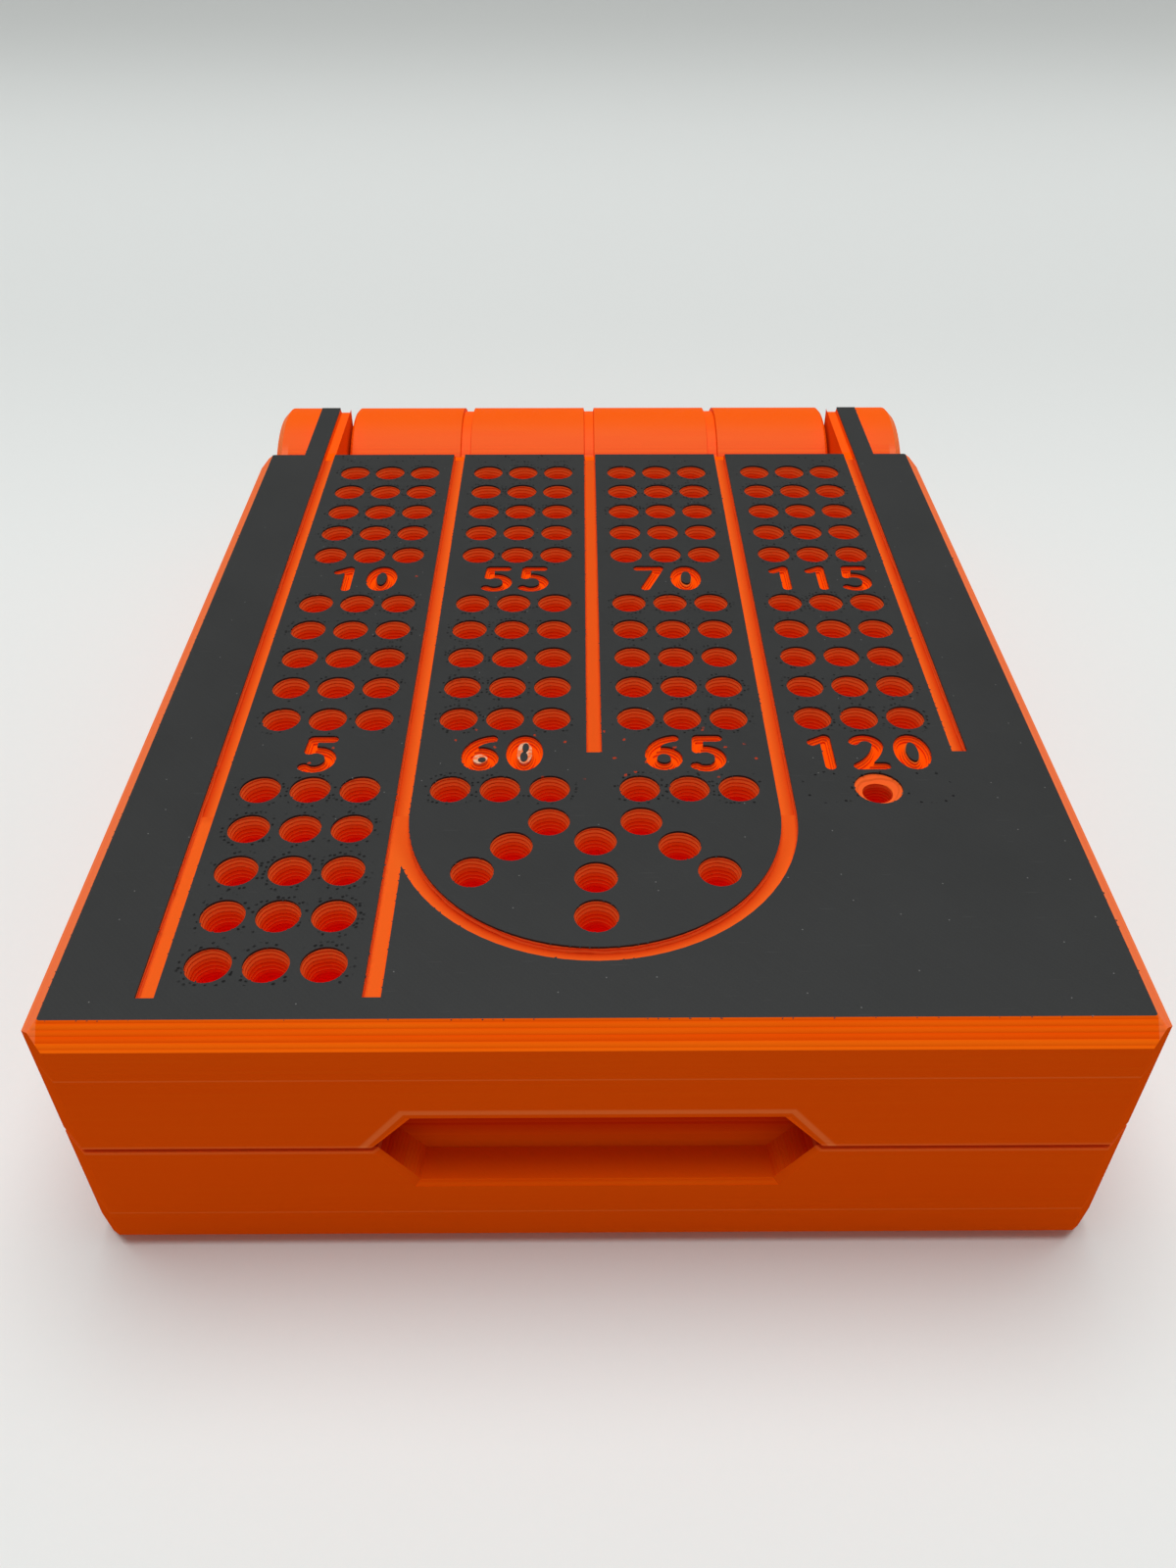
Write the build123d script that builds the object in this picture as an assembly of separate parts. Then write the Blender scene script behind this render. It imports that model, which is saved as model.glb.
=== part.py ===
from build123d import *
import math
import os

# Folding cribbage board, closed, in millimetres. The long-side layout is drawn from the hinge axis:
# X to the right, Y away from the front edge, Z up. It is moved onto the table at the end.

# Playing deck and case
deck_width = 97.4
deck_length = 111.0
deck_corner_radius = 0.3
edge_bevel = 2.0
half_height = 16.5
case_corner_bevel = 2.5
bay_depth = 10.5
side_wall = 5.5
front_wall = 10.0
back_wall = 4.0
bay_corner_radius = 1.5
parting_gap = 0.6
skin_thickness = 0.25

# Hinge
hinge_reach = 17.8
barrel_drop = 1.5
barrel_gap = 0.45
barrel_end_bevel = 0.4
arm_reach = 3.8
arm_gap = 0.4
ear_end_bevel = 1.0
web_height = 8.0
rod_radius = 1.5
rod_running_clearance = 0.06
rod_press_clearance = 0.01
rod_end_depth = 1.0
rod_end_wall = 1.5
rod_end_bevel = 0.3

# Grooves between the lanes
outer_groove_margin = 8.7
groove_width = 1.7
groove_depth = 0.55
groove_wall_draft = 0.12
groove_end_margin = 2.45
turn_from_front = 27.5
turn_row_back = 3.45

# Peg holes
hole_pitch = 5.245
hole_mouth_radius = 2.15
hole_radius = 1.6
hole_taper_depth = 2.4
hole_floor = 0.35
hole_room = 1.0
game_hole_mouth_radius = 2.55
game_hole_taper_depth = 0.55
rows_in_group = 5
turn_middle_start = 8.14
turn_middle_step = 5.24
turn_diagonal_start = (4.73, 5.19)
turn_diagonal_spacing = 5.24
turn_diagonal_angle = 45.0

# The hidden half's own layout
under_groups = 3
under_first_row = 3.6
under_group_gap = 8.4
under_turn_forward = 4.0
under_digit_scale = 0.56

# Numbers
digit_height = 6.2
digit_width = 4.05
digit_stroke = 1.25
digit_gap = 0.75
digit_level_depth = 0.25
digit_level_inset = 0.2
digit_levels = 3

# Finger notch, part of a six-sided recess in each half
notch_half_width = 21.4
notch_end_half_width = 17.6
upper_notch_height = 4.9
lower_notch_height = 6.1
notch_depth = 3.9
notch_wall_draft = 0.3
notch_lip = 0.5

# Card bay, peg bay and lid
partition = 3.0
lid_thickness = 1.4
lid_drop = 1.7
lid_clearance = 0.15
lid_groove_depth = 1.5
lid_side_clearance = 0.25
lid_end_clearance = 0.3
lid_corner_bevel = 0.3
lid_front_room = 1.0
lid_stop_wall = 31.0
ridge_length = 22.0
ridge_width = 1.2
ridge_height = 0.6
ridge_pitch = 2.6
ridge_count = 3
ridge_from_edge = 8.0

# Pegs and their cradles
peg_length = 28.0
peg_tip_radius = 1.2
peg_shank_radius = 1.45
peg_belly_radius = 1.9
peg_neck_radius = 1.35
peg_knob_radius = 2.2
peg_tip_bevel = 1.0
peg_shank_end = 8.0
peg_belly_place = 17.0
peg_floor_gap = 0.1
peg_clearance = 0.1
peg_end_room = 2.0
peg_from_side = 7.4
pegs_of_a_colour = 3
peg_colours = ("white", "charcoal", "orange")
cradle_places = (5.0, 19.0)
cradle_thickness = 3.0
cradle_top_drop = 0.3

# Magnets
magnet_radius = 3.0
magnet_thickness = 3.0
magnet_clearance = 0.05
magnet_depth = 0.1
magnet_bevel = 0.3
magnet_from_side = 12.5

# Places that follow from the sizes, as distances from the hinge axis
mating = parting_gap / 2
half_width = deck_width / 2 + edge_bevel
barrel_radius = half_height - barrel_drop
deck_back = hinge_reach
deck_front = hinge_reach + deck_length
case_back = deck_back - edge_bevel
case_front = deck_front + edge_bevel
deck_base = half_height - skin_thickness
floor_level = bay_depth
hole_depth = half_height - bay_depth - skin_thickness - hole_floor
bay_half_width = half_width - side_wall
peg_bay_back = case_back + back_wall
peg_bay_front = peg_bay_back + peg_length + 2 * peg_end_room
card_bay_back = peg_bay_front + partition
card_bay_front = case_front - front_wall
lid_travel = card_bay_front - card_bay_back - lid_front_room - lid_stop_wall
outer_groove = deck_width / 2 - outer_groove_margin
lane_pitch = outer_groove / 2
arm_inner = outer_groove - groove_width / 2
arm_outer = outer_groove + arm_reach
strip_inner = outer_groove + groove_width / 2
barrel_half_length = arm_inner - barrel_gap
turn_centre = deck_front - turn_from_front
turn_row = turn_centre - turn_row_back
label_rows = (rows_in_group + 1, 2 * (rows_in_group + 1))
row_pitch = (turn_row - deck_back) / (label_rows[1] + 1)
lane_stop = deck_back + label_rows[1] * row_pitch
under_turn_centre = turn_centre + under_turn_forward
under_turn_row = turn_row + under_turn_forward
under_pitches = under_groups * (rows_in_group - 1) + 1
under_row_room = (under_turn_row - deck_back - under_first_row
                  - (under_groups - 1) * under_group_gap)
under_row_pitch = under_row_room / under_pitches
lanes = [(n - 1.5) * lane_pitch for n in range(4)]
pegs_in_all = pegs_of_a_colour * len(peg_colours)
peg_pitch = 2 * (bay_half_width - peg_from_side) / (pegs_in_all - 1)


def block(x, distance, z):
    """A box between pairs of limits: X, distance in front of the hinge axis, and Z."""
    size = (x[1] - x[0], distance[1] - distance[0], z[1] - z[0])
    centre = ((x[0] + x[1]) / 2, -(distance[0] + distance[1]) / 2, (z[0] + z[1]) / 2)
    return Pos(*centre) * Box(*size)


def rod_along_x(radius, x):
    """A round bar on the hinge axis between two X limits."""
    return Pos((x[0] + x[1]) / 2, 0, 0) * Rot(0, 90, 0) * Cylinder(radius, x[1] - x[0])


def rounded_plate(x, distance, z, radius):
    """A plate with rounded upright corners."""
    outline = RectangleRounded(x[1] - x[0], distance[1] - distance[0], radius)
    place = Pos((x[0] + x[1]) / 2, -(distance[0] + distance[1]) / 2, z[0])
    return place * extrude(outline, z[1] - z[0])


# The board's pattern: grooves, holes and numbers

def top_grooves():
    """Straight grooves as (x, start, end) and turns as centres, on the half that shows."""
    front = deck_front - groove_end_margin
    straight = [
        (-outer_groove, mating, front),
        (-lane_pitch, case_back, front),
        (0, case_back, lane_stop),
        (lane_pitch, case_back, turn_centre),
        (outer_groove, mating, lane_stop),
    ]
    return straight, [(0, turn_centre)]


def under_grooves():
    """The same for the hidden half, where both pairs of lanes turn back."""
    straight = [(0, case_back, under_turn_centre)]
    for side in (-1, 1):
        straight.append((side * outer_groove, mating, under_turn_centre))
        straight.append((side * lane_pitch, case_back, lane_stop))
    return straight, [(side * lane_pitch, under_turn_centre) for side in (-1, 1)]


def turn_holes(centre, first_row):
    """The five rows of a turn, from one lane round to the other."""
    rows = []
    for side in (-1, 1):
        lane = centre + side * lane_pitch / 2
        rows += [(lane + n * hole_pitch, first_row) for n in (-1, 0, 1)]
        slant = math.radians(turn_diagonal_angle)
        for n in range(3):
            across = turn_diagonal_start[0] + n * turn_diagonal_spacing * math.cos(slant)
            along = turn_diagonal_start[1] + n * turn_diagonal_spacing * math.sin(slant)
            rows.append((centre + side * across, first_row + along))
    rows += [(centre, first_row + turn_middle_start + n * turn_middle_step) for n in range(3)]
    return rows


def lane_rows(groups):
    """Distances of the rows of one lane on the half that shows, in groups of five."""
    rows = []
    for group in range(groups):
        first = group * (rows_in_group + 1) + 1
        rows += [deck_back + (first + n) * row_pitch for n in range(rows_in_group)]
    return rows


def under_rows():
    """Distances of the rows of one lane on the hidden half."""
    group_length = (rows_in_group - 1) * under_row_pitch + under_group_gap
    first = deck_back + under_first_row
    starts = [first + group * group_length for group in range(under_groups)]
    return [start + n * under_row_pitch for start in starts for n in range(rows_in_group)]


def top_holes():
    holes = turn_holes(0, turn_row)
    for lane, groups in zip(lanes, (3, 2, 2, 2)):
        holes += [(lane + n * hole_pitch, row) for row in lane_rows(groups) for n in (-1, 0, 1)]
    return holes


def under_holes():
    holes = turn_holes(-lane_pitch, under_turn_row) + turn_holes(lane_pitch, under_turn_row)
    for lane in lanes:
        holes += [(lane + n * hole_pitch, row) for row in under_rows() for n in (-1, 0, 1)]
    return holes


def top_labels():
    """Numbers as (text, x, distance)."""
    near, away = (deck_back + row * row_pitch for row in label_rows)
    texts = (("10", "5"), ("55", "60"), ("70", "65"), ("115", "120"))
    labels = []
    for lane, pair in zip(lanes, texts):
        labels += [(pair[0], lane, near), (pair[1], lane, away)]
    return labels


def under_labels():
    rows = under_rows()
    near = (rows[rows_in_group - 1] + rows[rows_in_group]) / 2
    away = (rows[2 * rows_in_group - 1] + rows[2 * rows_in_group]) / 2
    texts = (("20", "25"), ("45", "40"), ("80", "85"), ("105", "100"))
    labels = []
    for lane, pair in zip(lanes, texts):
        labels += [(pair[0], lane, near), (pair[1], lane, away)]
    return labels


def digit_lines(digit):
    """The centre line of one plain digit, its strokes' ends at the edges of a unit box."""
    w = digit_width - digit_stroke
    h = digit_height - digit_stroke
    lines = {
        "0": [Pos(w / 2, h / 2) * Edge.make_ellipse(w / 2, h / 2)],
        "1": [Line((0.1 * w, 0.84 * h), (0.62 * w, h)), Line((0.62 * w, h), (0.62 * w, 0))],
        "2": [
            ThreePointArc((0.03 * w, 0.86 * h), (0.60 * w, 0.985 * h), (0.93 * w, 0.72 * h)),
            ThreePointArc((0.93 * w, 0.72 * h), (0.72 * w, 0.42 * h), (0, 0)),
            Line((0, 0), (w, 0)),
        ],
        "4": [
            Line((0.7 * w, 0), (0.7 * w, h)),
            Line((0.7 * w, h), (0, 0.3 * h)),
            Line((0, 0.3 * h), (w, 0.3 * h)),
        ],
        "5": [
            Line((0.92 * w, h), (0.16 * w, h)),
            Line((0.16 * w, h), (0.11 * w, 0.58 * h)),
            ThreePointArc((0.11 * w, 0.58 * h), (0.97 * w, 0.36 * h), (0, 0.03 * h)),
        ],
        "6": [
            Pos(w / 2, 0.29 * h) * Edge.make_ellipse(w / 2, 0.29 * h),
            ThreePointArc((0, 0.29 * h), (0.22 * w, 0.78 * h), (0.92 * w, h)),
        ],
        "7": [Line((0, h), (w, h)), Line((w, h), (0.3 * w, 0))],
        "8": [
            Pos(w / 2, 0.27 * h) * Edge.make_ellipse(w / 2, 0.27 * h),
            Pos(w / 2, 0.77 * h) * Edge.make_ellipse(0.43 * w, 0.23 * h),
        ],
    }
    return lines[digit]


def stroke(line, width):
    """One stroke with round ends."""
    ends = [Pos(end.X, end.Y) * Circle(width / 2) for end in (line @ 0, line @ 1)]
    return trace(line, width) + ends


def digit_shape(digit, width):
    shape = Sketch() + [stroke(line, width) for line in digit_lines(digit)]
    return Pos(-(digit_width - digit_stroke) / 2, -(digit_height - digit_stroke) / 2) * shape


def label_shapes(labels, under, level=0):
    """The outlines of all numbers, narrower at each level down.

    The hidden half is read from its other side, with its far end up.
    """
    digits = sorted({digit for text, x, distance in labels for digit in text})
    scale_by = under_digit_scale if under else 1.0
    shapes = {}
    for digit in digits:
        shape = scale(digit_shape(digit, digit_stroke - 2 * level * digit_level_inset), scale_by)
        shapes[digit] = mirror(shape, Plane.XZ) if under else shape
    step = (digit_width + digit_gap) * scale_by
    placed = []
    for text, x, distance in labels:
        first = x - step * (len(text) - 1) / 2
        for n, digit in enumerate(text):
            placed.append(Pos(first + n * step, -distance) * shapes[digit])
    return placed


def groove_outlines(straight, turns):
    """The grooves seen from above."""
    outlines = []
    for x, start, end in straight:
        outlines.append(Pos(x, -(start + end) / 2) * Rectangle(groove_width, end - start))
    outer = lane_pitch + groove_width / 2
    ring = Circle(outer) - Circle(lane_pitch - groove_width / 2)
    half_ring = ring & (Pos(0, -outer) * Rectangle(2 * outer, 2 * outer))
    for x, distance in turns:
        outlines.append(Pos(x, -distance) * half_ring)
    return outlines


def groove_section(x, level=0):
    """The section of a groove in an upright plane: steep walls, a flat floor, and room above."""
    w = groove_width / 2
    floor = w - groove_wall_draft
    low = [(-w, 0), (-floor, -groove_depth), (floor, -groove_depth), (w, 0)]
    steps = [(-w, groove_depth), *low, (w, groove_depth)]
    points = [(x + across, level + up) for across, up in steps]
    return Plane.XZ * make_face(Polyline(*points, close=True))


def groove_cutters(straight, turns):
    """Cutters for the grooves, with their edges at the deck's base."""
    cutters = []
    for x, start, end in straight:
        bar = extrude(groove_section(x), end - start, dir=(0, -1, 0))
        cutters.append(Pos(0, -start, deck_base) * bar)
    half_turn = Rot(0, 0, 180) * revolve(groove_section(lane_pitch), Axis.Z, revolution_arc=180)
    for x, distance in turns:
        cutters.append(Pos(x, -distance, deck_base) * half_turn)
    return cutters


def peg_hole(mouth_radius, taper_depth):
    """A blind peg hole that narrows below its mouth, with room above it."""
    points = [
        (0, hole_room),
        (mouth_radius, hole_room),
        (mouth_radius, 0),
        (hole_radius, -taper_depth),
        (hole_radius, -hole_depth),
        (0, -hole_depth),
    ]
    section = Plane.XZ * make_face(Polyline(*points, close=True))
    return revolve(section, Axis.Z)


def hole_cutters(holes, mouth_radius, taper_depth):
    hole = peg_hole(mouth_radius, taper_depth)
    return [Pos(x, -distance, deck_base) * hole for x, distance in holes]


def digit_cutters(labels, under):
    """The carved numbers go down in steps, as printed layers do, and get narrower."""
    cutters = []
    for level in range(digit_levels):
        for outline in label_shapes(labels, under, level):
            top = Pos(0, 0, deck_base - level * digit_level_depth) * outline
            cutters.append(extrude(top, digit_level_depth, dir=(0, 0, -1)))
    return cutters


# The skin on a playing deck

def skin_outline(strip_outer):
    """The charcoal surface before its grooves and holes: the panel and a strip on each hinge arm."""
    panel = RectangleRounded(deck_width, deck_length, deck_corner_radius)
    outline = Pos(0, -(deck_back + deck_front) / 2) * panel
    for side in (-1, 1):
        middle = side * (strip_inner + strip_outer) / 2
        length = deck_back + edge_bevel - mating
        strip = Rectangle(strip_outer - strip_inner, length)
        outline += Pos(middle, -(mating + length / 2)) * strip
    return outline


def spread(piece):
    size = piece.bounding_box().size
    return size.X * size.Y


def skin_solids(outline, cuts):
    """The skin's separate pieces, the widest first: border, islands, digit centres."""
    sheet = Pos(0, 0, deck_base) * extrude(outline - cuts, skin_thickness)
    return sorted(sheet.solids(), key=spread, reverse=True)


# The case halves, both drawn as the upper one

def case_block():
    """The outside of a half: walls with cut corners, and a bevel up to the playing deck."""
    middle = -(case_back + case_front) / 2
    sides = (-half_width, half_width)
    ends = (case_back, case_front)
    walls = rounded_plate(sides, ends, (mating, half_height - edge_bevel), deck_corner_radius)
    low = RectangleRounded(2 * half_width, case_front - case_back, deck_corner_radius)
    high = RectangleRounded(deck_width, deck_length, deck_corner_radius)
    low = Pos(0, middle, half_height - edge_bevel) * low
    high = Pos(0, middle, half_height) * high
    walls += loft([low.faces()[0], high.faces()[0]], ruled=True)
    limits = block(sides, ends, (mating, half_height))
    return walls & chamfer(limits.edges().filter_by(Axis.Z), case_corner_bevel)


def arms(outer):
    """The two arms beside the barrel that carry the outer lines to the hinge axis."""
    both = [block((side_low, side_high), (mating, deck_back + edge_bevel), (mating, half_height))
            for side_low, side_high in ((-outer, -arm_inner), (arm_inner, outer))]
    return both[0] + both[1]


def notch_part(height):
    """One half's part of the finger notch: steep walls behind a small lip."""
    def section(depth, inset):
        low = notch_half_width - inset
        high = notch_end_half_width - inset
        top = height - inset
        corners = [(-low, 0), (-high, top), (high, top), (low, 0)]
        points = [(x, -case_front + depth, z) for x, z in corners]
        return make_face(Polyline(*points, close=True))

    mouth = section(-notch_lip, -notch_lip)
    lip = section(notch_lip, notch_lip)
    back = section(notch_depth, notch_lip + notch_wall_draft)
    return loft([mouth, lip], ruled=True) + loft([lip, back], ruled=True)


def bay(front, back, top):
    """The room of a bay, between the mating face and a level."""
    sides = (-bay_half_width, bay_half_width)
    return rounded_plate(sides, (back, front), (-mating, top), bay_corner_radius)


def magnet_places():
    offset = half_width - magnet_from_side
    return [(side * offset, -(case_front - front_wall / 2)) for side in (-1, 1)]


def upright_disc(radius, thickness):
    return Cylinder(radius, thickness, align=(Align.CENTER, Align.CENTER, Align.MIN))


def magnet_pockets():
    depth = magnet_depth + magnet_thickness + magnet_clearance
    pocket = upright_disc(magnet_radius + magnet_clearance, depth + mating)
    return [Pos(x, y, 0) * pocket for x, y in magnet_places()]


def magnets():
    disc = upright_disc(magnet_radius, magnet_thickness)
    disc = chamfer(disc.edges().filter_by(GeomType.CIRCLE), magnet_bevel)
    return [Pos(x, y, mating + magnet_depth) * disc for x, y in magnet_places()]


def plain_half(arm_limit, notch_height):
    """What both halves share: block, arms, card bay, notch and magnet pockets."""
    half = case_block() + arms(arm_limit)
    half -= [bay(card_bay_front, card_bay_back, floor_level), notch_part(notch_height)]
    half -= magnet_pockets()
    return half


def cut_deck(half, strip_limit, grooves, holes, game_holes, numbers_cut):
    """Takes the skin's room, the grooves, the peg holes and the numbers out of a half's deck."""
    room = Pos(0, 0, deck_base) * extrude(skin_outline(strip_limit), half_height)
    half -= room
    half -= groove_cutters(*grooves)
    half -= hole_cutters(holes, hole_mouth_radius, hole_taper_depth)
    if game_holes:
        half -= hole_cutters(game_holes, game_hole_mouth_radius, game_hole_taper_depth)
    half -= numbers_cut
    return half


def ears():
    """The two hinge ears outside the arms, each with its web to the case."""
    both = Part()
    for side in (-1, 1):
        middle = side * (arm_outer + half_width) / 2
        ear = Pos(middle, 0, 0) * Rot(0, 90, 0) * Cylinder(barrel_radius, half_width - arm_outer)
        rim = ear.edges().filter_by(GeomType.CIRCLE).sort_by(Axis.X)[-1 if side > 0 else 0]
        ear = chamfer(rim, ear_end_bevel)
        limits = sorted((side * arm_outer, side * (half_width - ear_end_bevel)))
        both += ear + block(limits, (0, deck_back), (mating, web_height))
    return both


def barrel():
    """The middle hinge barrel with its web, and the lane lines carried round it as rings."""
    limits = (-barrel_half_length, barrel_half_length)
    tube = rod_along_x(barrel_radius, limits)
    tube = chamfer(tube.edges().filter_by(GeomType.CIRCLE), barrel_end_bevel)
    ring = revolve(groove_section(0, barrel_radius), Axis.X)
    tube -= [Pos(x, 0, 0) * ring for x in (-lane_pitch, 0, lane_pitch)]
    return tube + block(limits, (0, case_back), (mating, web_height))


def upper_half():
    numbers = label_shapes(top_labels(), False)
    game_hole = [(lanes[3], turn_row)]
    half = plain_half(arm_outer, upper_notch_height) + ears()
    half -= bay(peg_bay_front, peg_bay_back, floor_level)
    half -= rod_along_x(rod_radius + rod_press_clearance, (rod_end_wall - half_width, 2 * half_width))
    half = cut_deck(half, arm_outer, top_grooves(), top_holes(), game_hole,
                    digit_cutters(top_labels(), False))
    cuts = groove_outlines(*top_grooves())
    cuts += [Pos(x, -distance) * Circle(hole_mouth_radius) for x, distance in top_holes()]
    cuts += [Pos(x, -distance) * Circle(game_hole_mouth_radius) for x, distance in game_hole]
    return half, skin_solids(skin_outline(arm_outer), cuts + numbers)


def lid_levels():
    """Low and high faces of the lid, as heights above the hinge axis in the upper drawing."""
    return lid_drop, lid_drop + lid_thickness


def cradles():
    """Two ribs across the peg bay, hollowed to each peg's own thickness."""
    ribs = []
    axis = floor_level - peg_floor_gap - peg_knob_radius
    for place in cradle_places:
        distance = peg_tip_distance() - place
        radius = peg_radius_at(place) + peg_clearance
        rib = block((-bay_half_width, bay_half_width),
                    (distance - cradle_thickness / 2, distance + cradle_thickness / 2),
                    (axis + cradle_top_drop, floor_level))
        troughs = [Pos(x, -distance, axis) * Rot(90, 0, 0) * Cylinder(radius, 2 * cradle_thickness)
                   for x in peg_places()]
        ribs.append(rib - troughs)
    return ribs


def lower_half():
    """Drawn as an upper half, without ears but with the barrel, and turned over at the end."""
    numbers = label_shapes(under_labels(), True)
    strip_limit = arm_outer - arm_gap
    half = plain_half(strip_limit, lower_notch_height) + barrel()
    half -= rod_along_x(rod_radius + rod_running_clearance, (-arm_inner, arm_inner))
    for side in (-1, 1):
        limits = sorted((side * arm_inner, side * arm_outer))
        half -= rod_along_x(rod_radius + parting_gap, limits)
    half -= bay(peg_bay_front, peg_bay_back, floor_level)
    low, high = lid_levels()
    half -= block((-bay_half_width, bay_half_width),
                  (peg_bay_front - bay_corner_radius, card_bay_back + bay_corner_radius),
                  (-mating, high + lid_clearance))
    slot_half = bay_half_width + lid_groove_depth
    slot_front = card_bay_back + lid_travel + lid_front_room
    half -= block((-slot_half, slot_half), (peg_bay_back, slot_front),
                  (low - lid_clearance, high + lid_clearance))
    for rib in cradles():
        half += rib
    half = cut_deck(half, strip_limit, under_grooves(), under_holes(), [],
                    digit_cutters(under_labels(), True))
    cuts = groove_outlines(*under_grooves())
    cuts += [Pos(x, -distance) * Circle(hole_mouth_radius) for x, distance in under_holes()]
    return half, skin_solids(skin_outline(strip_limit), cuts + numbers)


# Loose pieces, drawn as in the upper half and turned over with the lower one

def peg_lid():
    low, high = lid_levels()
    half = bay_half_width + lid_groove_depth - lid_side_clearance
    back = peg_bay_back + lid_end_clearance
    lid = block((-half, half), (back, card_bay_back), (low, high))
    lid = chamfer(lid.edges().filter_by(Axis.Z), lid_corner_bevel)
    for n in range(ridge_count):
        distance = card_bay_back - ridge_from_edge - n * ridge_pitch
        lid += block((-ridge_length / 2, ridge_length / 2),
                     (distance - ridge_width / 2, distance + ridge_width / 2),
                     (low - ridge_height, low))
    return lid


def peg_places():
    return [(n - (pegs_in_all - 1) / 2) * peg_pitch for n in range(pegs_in_all)]


def peg_tip_distance():
    """The pegs' tips point to the front, and the pegs lie in the middle of their bay."""
    return (peg_bay_front + peg_bay_back) / 2 + peg_length / 2


def peg_points():
    """The peg's outline as (place along it, radius), from the tip to the knob."""
    knob_centre = peg_length - peg_knob_radius
    neck = knob_centre - math.sqrt(peg_knob_radius ** 2 - peg_neck_radius ** 2)
    return [
        (0, peg_tip_radius),
        (peg_tip_bevel, peg_shank_radius),
        (peg_shank_end, peg_shank_radius),
        (peg_belly_place, peg_belly_radius),
        (neck, peg_neck_radius),
    ]


def peg_radius_at(place):
    points = peg_points()
    for (start, first), (end, second) in zip(points, points[1:]):
        if start <= place <= end:
            return first + (second - first) * (place - start) / (end - start)
    return peg_knob_radius


def peg():
    """One peg along +Y from its tip."""
    points = peg_points()
    knob_centre = peg_length - peg_knob_radius
    outline = [(0, 0)] + [(radius, place) for place, radius in points]
    outline += [(peg_neck_radius, knob_centre), (0, knob_centre)]
    body = revolve(make_face(Polyline(*outline, close=True)), Axis.Y)
    return body + Pos(0, knob_centre, 0) * Rot(90, 0, 0) * Sphere(peg_knob_radius)


def pegs():
    axis = floor_level - peg_floor_gap - peg_knob_radius
    one = peg()
    placed = [Pos(x, -peg_tip_distance(), axis) * one for x in peg_places()]
    names = [f"{colour}_peg_{n + 1}" for colour in peg_colours for n in range(pegs_of_a_colour)]
    return dict(zip(names, placed))


def hinge_rod():
    rod = rod_along_x(rod_radius, (rod_end_wall - half_width, half_width - rod_end_depth))
    return chamfer(rod.edges().filter_by(GeomType.CIRCLE), rod_end_bevel)


def turned_over(shape):
    return mirror(shape, Plane.XY)


def together(shapes):
    return Compound(children=[Solid(shape.wrapped) for shape in shapes])


def skins(solids, islands):
    """Names the skin's pieces: the border, the islands and the small digit centres."""
    return solids[0], solids[1:1 + islands], solids[1 + islands:]


def pieces():
    """Every piece by its name, closed, with the hinge axis as the origin."""
    upper, upper_skins = upper_half()
    lower, lower_skins = lower_half()
    found = {"upper_case": upper, "lower_case": turned_over(lower)}
    border, islands, centres = skins(upper_skins, 1)
    found["upper_border_skin"] = border
    found["upper_island_skin"] = islands[0]
    found["upper_digit_centres"] = together(centres)
    border, islands, centres = skins([turned_over(piece) for piece in lower_skins], 2)
    islands = sorted(islands, key=lambda piece: piece.center().X)
    found["lower_border_skin"] = border
    found["lower_left_island_skin"] = islands[0]
    found["lower_right_island_skin"] = islands[1]
    found["lower_digit_centres"] = together(centres)
    found["hinge_rod"] = hinge_rod()
    for side, magnet in zip(("left", "right"), magnets()):
        found[f"upper_{side}_magnet"] = magnet
        found[f"lower_{side}_magnet"] = turned_over(magnet)
    found["peg_lid"] = turned_over(peg_lid())
    for name, shape in pegs().items():
        found[name] = turned_over(shape)
    return found


def main():
    os.makedirs("parts", exist_ok=True)
    onto_table = Pos(0, (case_front - barrel_radius) / 2, half_height)
    for name, shape in pieces().items():
        placed = onto_table * shape
        export_step(placed, f"parts/{name}.step")
        box = placed.bounding_box()
        print(name, len(placed.solids()), "solids", [round(v, 2) for v in (*box.min, *box.max)])


main()
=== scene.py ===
# %% [markdown]
# # A pocket cribbage board that folds shut
# The board is printed in two halves, orange with a thin charcoal skin on each playing face, and
# joined by a hinge at the far end. The packed model already holds every solid piece at its real
# size, so this script adds what a printer and a pair of hands leave behind: layer lines, ragged
# edges, scuffs and dust, and then the light of a small photo tent.
#
# Lengths are metres, as in the packed model. Sizes that are easier to read in millimetres are
# written as a number times `mm`. Materials count in plain millimetres, so their own lengths,
# and the pitches that they use, have no `mm`.

# %% The packed model
import math
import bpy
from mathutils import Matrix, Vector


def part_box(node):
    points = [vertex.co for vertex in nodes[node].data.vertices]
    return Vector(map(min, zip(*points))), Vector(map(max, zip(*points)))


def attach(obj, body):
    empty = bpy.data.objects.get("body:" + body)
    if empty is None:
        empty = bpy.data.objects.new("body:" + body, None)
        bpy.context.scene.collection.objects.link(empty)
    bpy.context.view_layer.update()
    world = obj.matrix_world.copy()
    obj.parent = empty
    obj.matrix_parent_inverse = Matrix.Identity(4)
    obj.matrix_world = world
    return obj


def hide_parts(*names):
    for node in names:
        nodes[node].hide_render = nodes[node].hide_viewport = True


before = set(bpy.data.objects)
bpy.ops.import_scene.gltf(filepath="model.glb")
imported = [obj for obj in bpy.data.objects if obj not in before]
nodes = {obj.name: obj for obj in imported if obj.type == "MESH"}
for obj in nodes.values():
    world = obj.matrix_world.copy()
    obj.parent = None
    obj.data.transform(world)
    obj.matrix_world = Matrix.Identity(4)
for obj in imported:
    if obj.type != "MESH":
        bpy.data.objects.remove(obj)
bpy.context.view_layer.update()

from types import SimpleNamespace

import bmesh
import bpy
from mathutils import Matrix, Vector

mm = 0.001

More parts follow.
